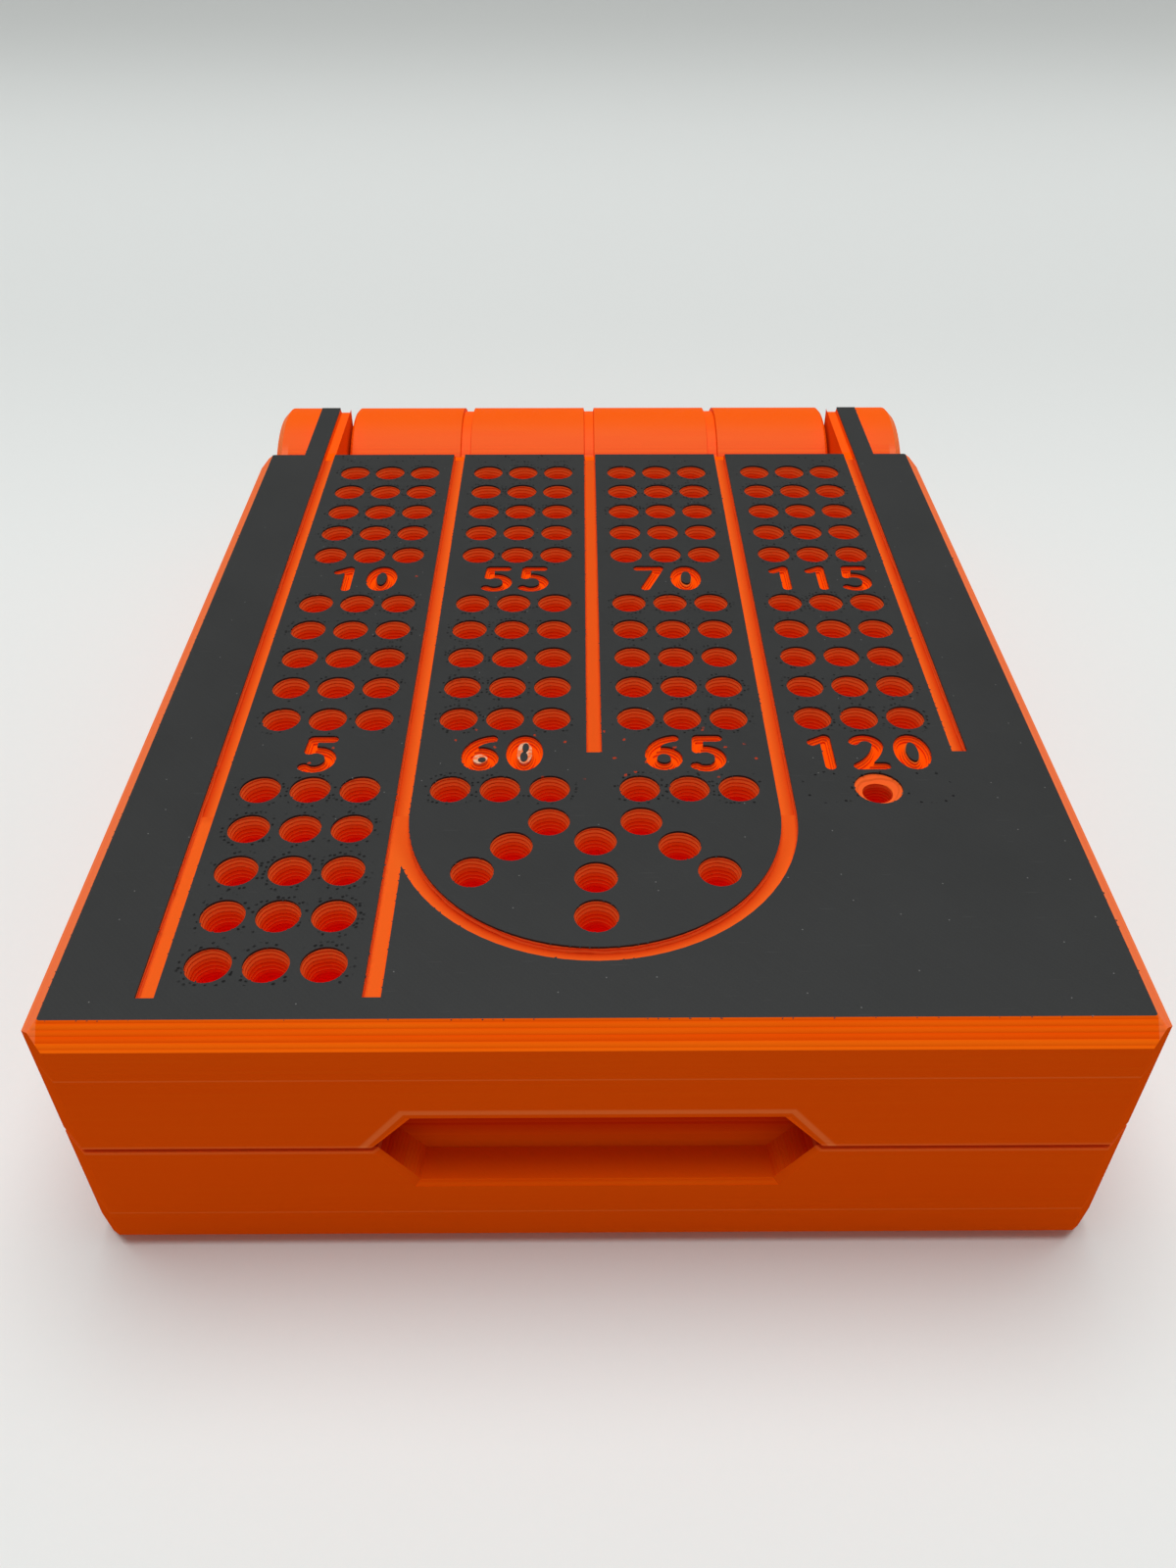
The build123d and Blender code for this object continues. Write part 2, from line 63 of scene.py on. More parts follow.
# %% [markdown]
# ## What is measured on the model
# Everything added later sits on a face of the model, so the levels and outlines are read from
# it and not written down again. Both playing faces are flat, with their skin 0.25 mm thick.
# Where a groove, a lane or the notch lies is no edge of a node's box, so those few values are
# written down as the model has them.

# %% Levels and outlines
skin_low, skin_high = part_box("upper_border_skin")
play_face = skin_high.z
skin_base = skin_low.z
table_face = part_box("lower_border_skin")[0].z
middle_level = (play_face + table_face) / 2
deck_half_width = skin_high.x
deck_front = skin_low.y
deck_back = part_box("upper_island_skin")[1].y
case_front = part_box("upper_case")[0].y
print("playing face at", round(play_face / mm, 2), "mm, skin", round((play_face - skin_base) / mm, 2), "mm")
print("panel", round(2 * deck_half_width / mm, 1), "by", round((deck_back - deck_front) / mm, 1), "mm")

# %% Places that no box gives
floor_thickness = 6.0 * mm
groove_floor = 0.80 * mm
turn_centre = -43.4 * mm
notch_half_width = 21.9 * mm
notch_top = 21.9 * mm
lane_pitch = 20.0
print("lanes", lane_pitch, "mm apart, grooves", round(groove_floor / mm, 2), "mm deep")

# %% [markdown]
# ## The camera
# The photograph was taken with a phone held close in front of the near edge, so the lanes run
# together strongly towards the hinge. Position, tilt and focal length come from matching the
# rims of the peg holes and the upright corners of the case, whose places on the model are
# known. The picture is taller than wide, and the 36 mm sensor lies along its long side.

# %% Camera
camera_place = (-1.374 * mm, -142.16 * mm, 118.87 * mm)
camera_down = 39.83
camera_turn = -0.372
camera_roll = 0.052
camera_focal = 29.05

camera_data = bpy.data.cameras.new("camera")
camera_data.sensor_width = 36.0
camera_data.lens = camera_focal
camera_data.clip_start = 5 * mm
camera_data.clip_end = 20
camera = bpy.data.objects.new("camera", camera_data)
turned = Matrix.Rotation(math.radians(camera_turn), 4, "Z")
tilted = Matrix.Rotation(math.radians(90 - camera_down), 4, "X")
rolled = Matrix.Rotation(math.radians(camera_roll), 4, "Z")
camera.matrix_world = Matrix.Translation(camera_place) @ turned @ tilted @ rolled
bpy.context.scene.collection.objects.link(camera)
bpy.context.scene.camera = camera
print("camera at", [round(v / mm, 1) for v in camera_place], "mm, looking", camera_down, "degrees down")

# %% [markdown]
# ## Writing shaders as sums
# A pattern such as a layer line is a small formula. Wiring it by hand takes dozens of nodes, so
# a socket is wrapped in a class whose operators add the Math nodes. Every other node comes from
# one method, which sets the node's options first and then its values or links.

# %% Sockets with operators, and one way to make a node
class Wire:
    """One output socket. Arithmetic on it adds Math nodes."""

    def __init__(self, paint, socket):
        self.paint = paint
        self.socket = socket

    def math(self, operation, *others):
        inputs = {n: value for n, value in enumerate((self, *others))}
        return self.paint.node("ShaderNodeMath", {"operation": operation}, inputs)

    def turned_round(self, operation, other):
        return self.paint.node("ShaderNodeMath", {"operation": operation}, {0: other, 1: self})

    def __add__(self, other):
        return self.math("ADD", other)

    def __sub__(self, other):
        return self.math("SUBTRACT", other)

    def __rsub__(self, other):
        return self.turned_round("SUBTRACT", other)

    def __mul__(self, other):
        return self.math("MULTIPLY", other)

    def __truediv__(self, other):
        return self.math("DIVIDE", other)

    def __rtruediv__(self, other):
        return self.turned_round("DIVIDE", other)

    def __gt__(self, other):
        return self.math("GREATER_THAN", other)

    def __lt__(self, other):
        return self.math("LESS_THAN", other)

    def __abs__(self):
        return self.math("ABSOLUTE")

    __radd__ = __add__
    __rmul__ = __mul__

    def floor(self):
        return self.math("FLOOR")

    def part(self):
        """What is left over above the whole number."""
        return self.math("FRACT")

    def least(self, other):
        return self.math("MINIMUM", other)

    def most(self, other):
        return self.math("MAXIMUM", other)

    def smooth(self, start, end):
        """0 before start, 1 after end, eased in between. It falls if start is above end."""
        low, high = min(start, end), max(start, end)
        inputs = {"Value": self, "From Min": low, "From Max": high}
        rising = self.paint.node("ShaderNodeMapRange", {"interpolation_type": "SMOOTHSTEP"}, inputs)
        return rising if start < end else 1 - rising


class Paint:
    """A node tree under construction."""

    def __init__(self, owner):
        owner.use_nodes = True
        self.owner = owner
        self.tree = owner.node_tree
        self.tree.nodes.clear()

    def node(self, kind, options=None, inputs=None, out=0):
        made = self.tree.nodes.new(kind)
        for name, value in (options or {}).items():
            setattr(made, name, value)
        for name, value in (inputs or {}).items():
            socket = made.inputs[name]
            if isinstance(value, Wire):
                self.tree.links.new(value.socket, socket)
            else:
                socket.default_value = value
        return Wire(self, made.outputs[out])

    def axes(self, vector):
        first = self.node("ShaderNodeSeparateXYZ", None, {0: vector})
        return [Wire(self, socket) for socket in first.socket.node.outputs]

    def place(self, unit=mm):
        """Object coordinates, counted in the unit."""
        return [axis / unit for axis in self.axes(self.node("ShaderNodeTexCoord", out="Object"))]

    def facing(self):
        return self.axes(self.node("ShaderNodeTexCoord", out="Normal"))

    def vector(self, x, y, z):
        return self.node("ShaderNodeCombineXYZ", None, {0: x, 1: y, 2: z})

    def noise(self, vector, scale, detail=2.0):
        inputs = {"Vector": vector, "Scale": scale, "Detail": detail}
        return self.node("ShaderNodeTexNoise", None, inputs)

    def dots(self, x, y, spacing):
        """Scattered dots on a flat face: the distance to the closest, in mm, and its own throw."""
        options = {"voronoi_dimensions": "2D"}
        inputs = {"Vector": self.vector(x, y, 0.0), "Scale": 1 / spacing, "Randomness": 1.0}
        distance = self.node("ShaderNodeTexVoronoi", options, inputs)
        own = self.axes(Wire(self, distance.socket.node.outputs["Color"]))[0]
        return distance * spacing, own

    def throw(self, value):
        """A random number from 0 to 1 that belongs to a value, such as a layer's number."""
        return self.node("ShaderNodeTexWhiteNoise", {"noise_dimensions": "1D"}, {"W": value})

    def blend(self, share, first, second):
        """Mixes two colours."""
        return self.node("ShaderNodeMix", {"data_type": "RGBA"}, {0: share, 6: first, 7: second}, out=2)

    def bump(self, height, depth, strength=1.0):
        return self.node("ShaderNodeBump", None, {"Height": height, "Distance": depth, "Strength": strength})

    def surface(self, **inputs):
        named = {name.replace("_", " "): value for name, value in inputs.items()}
        shader = self.node("ShaderNodeBsdfPrincipled", None, named)
        self.node_out("ShaderNodeOutputMaterial", shader)
        return self.owner

    def node_out(self, kind, shader):
        made = self.tree.nodes.new(kind)
        self.tree.links.new(shader.socket, made.inputs["Surface"])


def new_paint(name):
    return Paint(bpy.data.materials.new(name))


print("shader helpers:", ", ".join(name for name in vars(Wire) if not name.startswith("_")))

# %% [markdown]
# ## Printed orange plastic
# A printer lays a bead every 0.2 mm of height. Every other bead shows, as a faint line that
# wanders a little on upright walls and as a ring in the peg holes, where each layer steps
# back. Level faces show the nozzle's diagonal passes, and the bevel shows a few uneven bands.
# All of it is one plastic, so it is one material: it looks at which way a face points and how
# far it lies below the closer playing face, and picks the right pattern.
#
# Light that reaches the bottom of a hole has met orange walls several times, and each meeting
# takes more of its green than of its red. That is painted in as shade: the colour runs to deep red with
# depth.

# %% Layer lines
line_height = 0.4
pass_width = 0.45
diagonal = 0.7071


def beads(position):
    """A row of round beads along a position counted in beads: height, and the bead's number."""
    share = position.part()
    return 4 * share * (1 - share), position.floor()


def layer_lines(paint, x, y, z):
    """The bump of upright walls, with each layer's own throw of the dice and a slow wander."""
    round_top, number = beads(z / line_height)
    own = paint.throw(number)
    wander = paint.noise(paint.vector(x * 0.05, y * 0.05, number * 3.7), 1.0)
    return round_top * 0.16 + own * 0.14 + wander * 0.2, own, wander


def hole_rings(paint, x, y, depth):
    """The steps of a hole's wall: a long rise and a short ledge that catches the light."""
    slow = paint.noise(paint.vector(x, y, 0.0), 0.25)
    position = depth / line_height + slow * 1.5
    share = position.part()
    rise = (share / 0.7).least((1 - share) / 0.3)
    ledge = share.smooth(0.45, 0.75) * share.smooth(1.0, 0.9)
    return rise, ledge * (0.3 + 0.7 * paint.throw(position.floor()))


def nozzle_passes(paint, x, y):
    """The diagonal passes on level faces."""
    round_top, number = beads((x + y) * diagonal / pass_width)
    return round_top * 0.6 + paint.throw(number) * 0.4


# %% [markdown]
# ### One material for a whole half
# A case half is one solid, so its material has to find out for itself what it covers. Masks do
# that: each is 1 on its own part, such as the floor of a playing face or the upright walls, and
# 0 elsewhere, and a mask times a pattern keeps the pattern in its place. A mask needs only where
# a point is and which way its face points, so it is the same from every side.

# %% Where a point of the case lies
edge_strip = 0.4
floor_margin = 0.1
skin_reach = 0.3
level_slack = 0.02


def case_spot(paint):
    """A point's place in mm, how level its face is, and which part of the case it is on."""
    spot = SimpleNamespace()
    spot.x, spot.y, spot.z = paint.place()
    spot.up = abs(paint.facing()[2])
    spot.level_face = spot.up.smooth(0.93, 0.99)
    spot.bevel = spot.up.smooth(0.5, 0.6) * spot.up.smooth(0.9, 0.8)
    spot.from_middle = abs(spot.z - middle_level / mm)
    spot.depth = (play_face - middle_level) / mm - spot.from_middle
    between_sides = abs(spot.x) < deck_half_width / mm - edge_strip
    behind_front = spot.y > deck_front / mm + edge_strip
    before_hinge = spot.y < deck_back / mm - edge_strip
    spot.within = between_sides * behind_front * before_hinge
    spot.in_floor = spot.within * (spot.depth < floor_thickness / mm - floor_margin)
    spot.in_hole = spot.in_floor * (1 - spot.level_face)
    groove_level = abs(spot.depth - groove_floor / mm) < level_slack
    spot.carved = spot.in_floor * (spot.depth > skin_reach) * (1 - groove_level)
    return spot


def add_patterns(paint, spot):
    """Adds what the layers look like at that point."""
    spot.lines, spot.own, spot.wander = layer_lines(paint, spot.x, spot.y, spot.z)
    spot.rise, spot.lit_ledge = hole_rings(paint, spot.x, spot.y, spot.depth)
    stretched = paint.vector(spot.x * 0.04, spot.y * 0.04, spot.z * 1.6)
    spot.bands = paint.noise(stretched, 1.0, 1.0)
    spot.bead_top = beads(spot.z / line_height)[0]
    spot.seam = abs(spot.depth - floor_thickness / mm).smooth(0.16, 0.04) * (1 - spot.within)


# %% Relief and plain tone of the orange
print_deep = (0.95, 0.088, 0.001, 1.0)
print_bright = (0.97, 0.140, 0.003, 1.0)


def case_relief(paint, spot):
    """What the bump reads: rings in a hole, layer lines on walls, passes on level faces."""
    walls = spot.lines + spot.seam * 0.3 + spot.bevel * (spot.bands + spot.bead_top) * 0.9
    height = (spot.in_hole * spot.rise * 2.4 + (1 - spot.in_hole) * walls) * (1 - spot.level_face)
    passes = nozzle_passes(paint, spot.x, spot.y)
    return height + passes * spot.level_face * (1 - spot.in_floor) * 0.5


def plain_colour(paint, spot):
    """The plastic's own tone with uneven bands on the bevel, painted light and shade across each bevel bead,
    and painted highlight on the hole ledges.
    """
    grain = paint.noise(paint.vector(spot.x, spot.y, spot.z * 3), 2.2, 3.0)
    tone = 0.45 + 0.12 * (spot.own - 0.5) + 0.35 * (spot.wander - 0.5) + 0.2 * (grain - 0.5)
    # The bevel's bands and each layer's own tone, plus painted shade in the creases between beads.
    bands_and_bead_shade = 0.9 * (spot.bands - 0.5) + 0.9 * (spot.own - 0.5) + 0.5 * (spot.bead_top - 0.6)
    tone = tone + spot.bevel * bands_and_bead_shade
    # In a hole the tone is the painted highlight of its lit ledges.
    tone = (spot.in_hole * spot.lit_ledge + (1 - spot.in_hole) * tone).most(0.0).least(1.0)
    return paint.blend(tone, print_deep, print_bright)


# %% [markdown]
# ### Colours by place, with painted light and shade
# The wall of a hole is a stair of ledges and rises. The ledges get a painted highlight and are
# paler, and the rises between them get painted shade. A groove's floor gets painted shade along
# one side, by its wall. Upright walls get painted shade, a tone deeper than level faces, and the
# notch deeper painted shade still. Edges that the nozzle rounded off get a painted highlight.

# %% The colours of holes and grooves
# Painted shade colours for depth and recesses, a painted highlight colour, and the grooves' own tone.
depth_shade_red = (0.985, 0.006, 0.0003, 1.0)
painted_shade_red = (0.54, 0.010, 0.0005, 1.0)
painted_highlight_pale = (0.97, 0.25, 0.07, 1.0)
groove_tone = (0.84, 0.122, 0.014, 1.0)


def colour_holes(paint, spot, colour):
    """Painted shade and highlight: redder with depth, pale ledges, dark rises between them and a pale mouth.
    """
    depth = spot.depth
    ringed = spot.in_hole * depth.smooth(0.9, 1.3)
    # Painted shade: the deeper a carved hole or number, the redder.
    depth_shade_share = (0.22 + 0.9 * depth.smooth(0.9, 4.0)).least(1.0)
    colour = paint.blend(spot.carved * depth_shade_share, colour, depth_shade_red)
    # Painted shade on the rises, painted highlight on the ledges and round the mouth.
    colour = paint.blend(ringed * (1 - spot.lit_ledge) * depth.smooth(5.0, 2.0) * 0.3, colour, painted_shade_red)
    colour = paint.blend(ringed * spot.lit_ledge * depth.smooth(4.2, 1.2) * 0.75, colour, painted_highlight_pale)
    return paint.blend(spot.in_hole * depth.smooth(1.7, 0.6) * 0.35, colour, painted_highlight_pale)


def colour_grooves(paint, spot, colour):
    """A groove's floor in its own tone, with painted shade on its outer side, and on its inner side in the
    turn.
    """
    past_turn = (turn_centre / mm - spot.y).most(0.0)
    from_turn = (spot.x * spot.x + past_turn * past_turn).math("SQRT")
    off_side = abs(spot.x)
    across = ((off_side / lane_pitch + 0.5).part() - 0.5) * lane_pitch * off_side.smooth(2.0, 30.0)
    across = across * (past_turn < 0.01) + (lane_pitch - from_turn) * past_turn.smooth(0.0, 14.0)
    groove = spot.in_floor * spot.level_face * (1 - spot.carved)
    colour = paint.blend(groove, colour, groove_tone)
    # Painted shade on the side of the floor next to the wall.
    return paint.blend(groove * across.smooth(-0.5, 0.9) * 0.75, colour, painted_shade_red)


# %% The colours of the walls
wall_shade = (0.62, 0.045, 0.001, 1.0)
parting_reach = 0.62
notch_reach = 7.5
notch_depth = 4.5
notch_lip = 0.55
slant_across, slant_up = 0.79, 0.61


def colour_walls(paint, spot, colour):
    """Painted shade on upright walls and deeper in the notch; painted highlight on the notch's lip, the
    parting and the seam.
    """
    half_width, middle = notch_half_width / mm, middle_level / mm
    behind_front = spot.y - case_front / mm
    # Painted shade on the upright walls.
    upright = spot.up.smooth(0.5, 0.3) * (1 - spot.within) * (spot.y < deck_back / mm)
    colour = paint.blend(upright * 0.45, colour, wall_shade)

    by_notch = (abs(spot.x) < half_width) * (spot.from_middle < notch_reach)
    inside_notch = by_notch * (behind_front < notch_depth) * (behind_front > notch_lip)
    # Painted shade in the notch, darker towards the top.
    shade = inside_notch * spot.z.smooth(10.0, 16.5) * (0.86 + 0.2 * spot.own)
    colour = paint.blend(shade, colour, painted_shade_red)

    # Painted highlight on the notch's rounded lip, along the parting and along the seam.
    beside_notch = (abs(spot.x) - half_width) * slant_across + (spot.z - middle) * slant_up
    outside_notch = (spot.z - notch_top / mm).most(beside_notch)
    lip_highlight = outside_notch.smooth(-0.1, 0.1) * outside_notch.smooth(0.8, 0.4)
    lip_highlight = lip_highlight * (behind_front < level_slack) * (spot.z > middle + 0.3)
    parting = (spot.from_middle < parting_reach) * (1 - spot.within)
    return paint.blend(lip_highlight * 0.4 + (parting + spot.seam).least(1.0) * 0.2, colour, painted_highlight_pale)


# %% The orange material
hinge_start = 2.2


def printed_plastic(name):
    paint = new_paint(name)
    spot = case_spot(paint)
    add_patterns(paint, spot)
    colour = plain_colour(paint, spot)
    for add_colour in (colour_holes, colour_grooves, colour_walls):
        colour = add_colour(paint, spot, colour)
    side_bevel = spot.bevel * (abs(spot.x) > deck_half_width / mm)
    # Painted highlight on the side bevels, pale like a sheen.
    colour = paint.blend(side_bevel * 0.35, colour, painted_highlight_pale)
    rough = 0.44 + 0.12 * spot.wander + 0.1 * spot.level_face
    on_hinge = spot.y > deck_back / mm + hinge_start
    normal = paint.bump(case_relief(paint, spot), 0.03 * mm)
    return paint.surface(Base_Color=colour, Roughness=rough, Normal=normal, Specular_IOR_Level=0.0,
                         Coat_Weight=on_hinge * 0.2 + side_bevel * 0.3, Coat_Roughness=0.45)


orange = printed_plastic("orange_print")
print(orange.name, "has", len(orange.node_tree.nodes), "nodes")

# %% [markdown]
# ## The charcoal skin
# The playing faces lay on the printer's smooth bed, so they are flat and satin, with barely
# visible passes. Small dark pin pricks stand in patches round the holes, chips beside the
# numbers show the orange below, and a little pale dust lies everywhere. Pricks and chips follow
# the lanes: the formula below folds the board onto one row and one lane to get the distance to
# a hole.

# %% The lanes' pattern, read from the model
def islands_at(node, level):
    """The separate flat faces of a node at a level, each as the places of its corners."""
    mesh = nodes[node].data
    islands = []
    for face in mesh.polygons:
        corners = set(face.vertices)
        if all(abs(mesh.vertices[n].co.z - level) < 0.01 * mm for n in corners):
            touching = [island for island in islands if island & corners]
            islands = [island for island in islands if not island & corners]
            islands.append(corners.union(*touching))
    return [[mesh.vertices[n].co for n in island] for island in islands]


def hole_centres(node, level):
    return [sum(places, Vector()) / len(places) for places in islands_at(node, level)]


hole_floor_depth = 5.65 * mm
upper_holes = hole_centres("upper_case", play_face - hole_floor_depth)
lower_holes = hole_centres("lower_case", table_face + hole_floor_depth)
row_levels = sorted({round(hole.y / mm, 2) for hole in upper_holes})
row_pitch = row_levels[-1] - row_levels[-2]
hole_pitch = 5.245
rows_in_group = 5
label_rows = (6, 12)
print(len(upper_holes), "holes above,", len(lower_holes), "below; rows", round(row_pitch, 2), "mm apart")


def near_a_hole(x, row):
    """Distance in mm to the closest place of the regular pattern of rows and lanes."""
    across = (x / lane_pitch + 2).part() * lane_pitch - lane_pitch / 2
    across = abs(abs(across) - hole_pitch).least(abs(across))
    along = ((row + 0.5).part() - 0.5) * row_pitch
    return (across * across + along * along).math("SQRT")


# %% Pricks, chips and dust
prick_spacing = 0.5
chip_spacing = 1.1
dust_spacing = 4.6
digit_reach = 0.55


def bed_spot(paint):
    """A point's place in mm, its row, whether the lanes reach it, and how many rows off a number is."""
    spot = SimpleNamespace()
    spot.x, spot.y, spot.z = paint.place()
    spot.flat = paint.vector(spot.x, spot.y, spot.z)
    spot.grain = paint.noise(spot.flat, 7.0, 2.0)
    spot.row = (deck_back / mm - spot.y) / row_pitch
    first_lane = spot.x < -lane_pitch
    last_row = label_rows[1] + 1.4 + first_lane * (rows_in_group - 1)
    beside = abs(spot.x) < 2 * lane_pitch - 1.0
    spot.in_lanes = beside * (spot.row < last_row) * (spot.z > middle_level / mm)
    spot.from_label = abs(spot.row - label_rows[0]).least(abs(spot.row - label_rows[1]))
    return spot


def pin_pricks(paint, spot):
    """Dark pricks in a ring round each hole, many in some patches and few in others."""
    rim = near_a_hole(spot.x, spot.row)
    ring = rim.smooth(2.2, 2.4) * rim.smooth(3.2, 2.6)
    around = ring * spot.in_lanes * (spot.from_label > digit_reach)
    distance, own = paint.dots(spot.x, spot.y, prick_spacing)
    patches = paint.noise(spot.flat, 0.08, 1.0).smooth(0.35, 0.65)
    pricks = (distance + 0.1 * spot.grain).smooth(0.25, 0.17)
    return pricks * (own < 0.06 + 0.4 * patches) * around


def orange_chips(paint, spot):
    """Chips beside the numbers, most of them round the nearer numbers of the middle lanes."""
    by_label = spot.from_label.smooth(0.8, 0.6) * spot.in_lanes
    distance, own = paint.dots(spot.x, spot.y, chip_spacing)
    ragged = distance + 0.6 * (paint.noise(spot.flat, 3.6, 2.0) - 0.5)
    middle_lanes = (spot.row > label_rows[1] - 1.0) * (abs(spot.x) < lane_pitch - 2.0)
    return ragged.smooth(0.20, 0.13) * (own < 0.012 + 0.085 * middle_lanes) * by_label


def dust_specks(paint, spot):
    distance, own = paint.dots(spot.x, spot.y, dust_spacing)
    return distance.smooth(0.09, 0.04) * (own < 0.4)


# %% The charcoal material
skin_deep = (0.024, 0.025, 0.025, 1.0)
skin_bright = (0.036, 0.037, 0.037, 1.0)
scratch_grey = (0.09, 0.09, 0.09, 1.0)
prick_black = (0.003, 0.003, 0.003, 1.0)
chip_orange = (0.42, 0.030, 0.003, 1.0)
dust_grey = (0.36, 0.36, 0.35, 1.0)


def bed_side_plastic(name):
    paint = new_paint(name)
    spot = bed_spot(paint)
    passes = nozzle_passes(paint, spot.x, spot.y)
    clouds = paint.noise(spot.flat, 0.09, 3.0)
    pricks = pin_pricks(paint, spot)
    chips = orange_chips(paint, spot)
    dust = dust_specks(paint, spot)
    along = paint.vector(spot.x * 0.5, spot.y * 11, spot.z)
    scratches = paint.noise(along, 0.6, 1.0).smooth(0.72, 0.82)

    tone = 0.35 + 0.5 * (clouds - 0.5) + 0.8 * (spot.grain - 0.5) + 0.15 * passes
    colour = paint.blend(tone.most(0.0).least(1.0), skin_deep, skin_bright)
    for share, tint in ((scratches * 0.25, scratch_grey), (pricks, prick_black),
                        (chips, chip_orange), (dust * 0.4, dust_grey)):
        colour = paint.blend(share, colour, tint)
    height = passes * 0.12 + spot.grain * 0.3 - (pricks + chips) * 2.0 + dust
    rough = 0.46 + 0.16 * (clouds - 0.5) + 0.2 * dust + 0.2 * pricks
    normal = paint.bump(height, 0.012 * mm)
    return paint.surface(Base_Color=colour, Roughness=rough, Normal=normal, Specular_IOR_Level=0.14)


charcoal = bed_side_plastic("charcoal_skin")
print(charcoal.name, "has", len(charcoal.node_tree.nodes), "nodes")

# %% [markdown]
# ## The small parts
# Pegs are a smoother plastic than the case, with a faint cloudiness and a fine skin of sink
# marks. The hinge rod is drawn steel, with streaks along it, and the magnets are nickel plated.
# Three short materials cover them.

# %% Pegs, rod and magnets
def moulded_plastic(name, deep, bright, sheen):
    paint = new_paint(name)
    x, y, z = paint.place()
    place = paint.vector(x, y * 0.4, z)
    clouds = paint.noise(place, 0.5, 3.0)
    skin = paint.noise(place, 6.0, 2.0)
    colour = paint.blend((clouds * 0.7 + skin * 0.3).smooth(0.3, 0.7), deep, bright)
    rough = sheen + 0.2 * (skin - 0.5)
    normal = paint.bump(skin + clouds, 0.01 * mm)
    return paint.surface(Base_Color=colour, Roughness=rough, Normal=normal)


def drawn_metal(name, deep, bright, rough_low, streaks):
    paint = new_paint(name)
    x, y, z = paint.place()
    lines = paint.noise(paint.vector(x * streaks[0], y * streaks[1], z * streaks[2]), 1.0, 3.0)
    colour = paint.blend(lines.smooth(0.3, 0.7), deep, bright)
    rough = rough_low + 0.25 * lines
    normal = paint.bump(lines, 0.004 * mm)
    return paint.surface(Base_Color=colour, Roughness=rough, Metallic=1.0, Normal=normal)


peg_white = moulded_plastic("peg_white", (0.70, 0.68, 0.62, 1.0), (0.82, 0.81, 0.77, 1.0), 0.36)
peg_charcoal = moulded_plastic("peg_charcoal", (0.022, 0.023, 0.023, 1.0), (0.034, 0.035, 0.035, 1.0), 0.38)
peg_orange = moulded_plastic("peg_orange", (0.80, 0.088, 0.006, 1.0), (0.92, 0.118, 0.009, 1.0), 0.36)
steel = drawn_metal("drawn_steel", (0.52, 0.52, 0.51, 1.0), (0.66, 0.66, 0.65, 1.0), 0.22, (0.2, 9.0, 9.0))
nickel = drawn_metal("nickel_plate", (0.66, 0.64, 0.60, 1.0), (0.78, 0.76, 0.73, 1.0), 0.12, (2.5, 2.5, 2.5))
print("small parts:", [m.name for m in (peg_white, peg_charcoal, peg_orange, steel, nickel)])

# %% Materials on the model's own nodes
def finish_of(node):
    if node.endswith("_case") or node == "peg_lid":
        return orange
    if "skin" in node or "centres" in node:
        return charcoal
    if "magnet" in node:
        return nickel
    if node == "hinge_rod":
        return steel
    return {"white": peg_white, "charcoal": peg_charcoal, "orange": peg_orange}[node.split("_")[0]]


for name, node in nodes.items():
    if not node.material_slots:
        node.data.materials.append(None)
    for slot in node.material_slots:
        slot.material = finish_of(name)
print("materials on nodes:", sorted({node.material_slots[0].material.name for node in nodes.values()}))

# %% [markdown]
# ## Ragged edges with Geometry Nodes
# Close up, no edge of the skin is clean: small nibs of plastic stand on the rims of the holes,
# the numbers and the grooves, more in some places than in others. They follow the edges of the
# skin, and each half has more than a thousand of them, so Geometry Nodes place them: keep the
# skin's sharp edges at the level of the playing face, walk along them in equal steps, throw dice
# at each step, and put a small flattened lump there. The result is turned into a plain mesh.

# %% Helpers for a geometry tree
def tree_with_inputs(name, inputs):
    """A geometry tree with a mesh in, a mesh out and named inputs of its own."""
    tree = bpy.data.node_groups.new(name, "GeometryNodeTree")
    tree.interface.new_socket("Geometry", in_out="INPUT", socket_type="NodeSocketGeometry")
    tree.interface.new_socket("Geometry", in_out="OUTPUT", socket_type="NodeSocketGeometry")
    for label, (kind, value) in inputs.items():
        socket = tree.interface.new_socket(label, in_out="INPUT", socket_type=kind)
        if value is not None:
            socket.default_value = value
    return tree


def grow(tree, kind, options=None, inputs=None):
    """Adds a node: options first, then values, or sockets to link from."""
    made = tree.nodes.new(kind)
    for name, value in (options or {}).items():
        setattr(made, name, value)
    for name, value in (inputs or {}).items():
        if isinstance(value, bpy.types.NodeSocket):
            tree.links.new(value, made.inputs[name])
        else:
            made.inputs[name].default_value = value
    return made


def plain_mesh(source, tree, values, name):
    """Runs the tree on a source object with its inputs set, and keeps the result as a mesh."""
    modifier = source.modifiers.new(tree.name, "NODES")
    modifier.node_group = tree
    for item in tree.interface.items_tree:
        if item.item_type == "SOCKET" and item.in_out == "INPUT" and item.name in values:
            modifier[item.identifier] = values[item.name]
    bpy.context.scene.collection.objects.link(source)
    evaluated = source.evaluated_get(bpy.context.evaluated_depsgraph_get())
    mesh = bpy.data.meshes.new_from_object(evaluated)
    mesh.name = name
    bpy.data.objects.remove(source)
    made = bpy.data.objects.new(name, mesh)
    bpy.context.scene.collection.objects.link(made)
    return made


# %% Short forms for the trees
same_place = 0.002 * mm
level_reach = 0.01 * mm
sharp_angle = 1.2
flat_only = (1.0, 1.0, 0.0)


def maths(tree, operation, *values):
    """The result of a Math node."""
    return grow(tree, "ShaderNodeMath", {"operation": operation}, dict(enumerate(values))).outputs[0]


def vectors(tree, operation, first, second):
    """The result of a Vector Math node. SCALE takes one number as its second."""
    inputs = {0: first, "Scale" if operation == "SCALE" else 1: second}
    return grow(tree, "ShaderNodeVectorMath", {"operation": operation}, inputs).outputs[0]


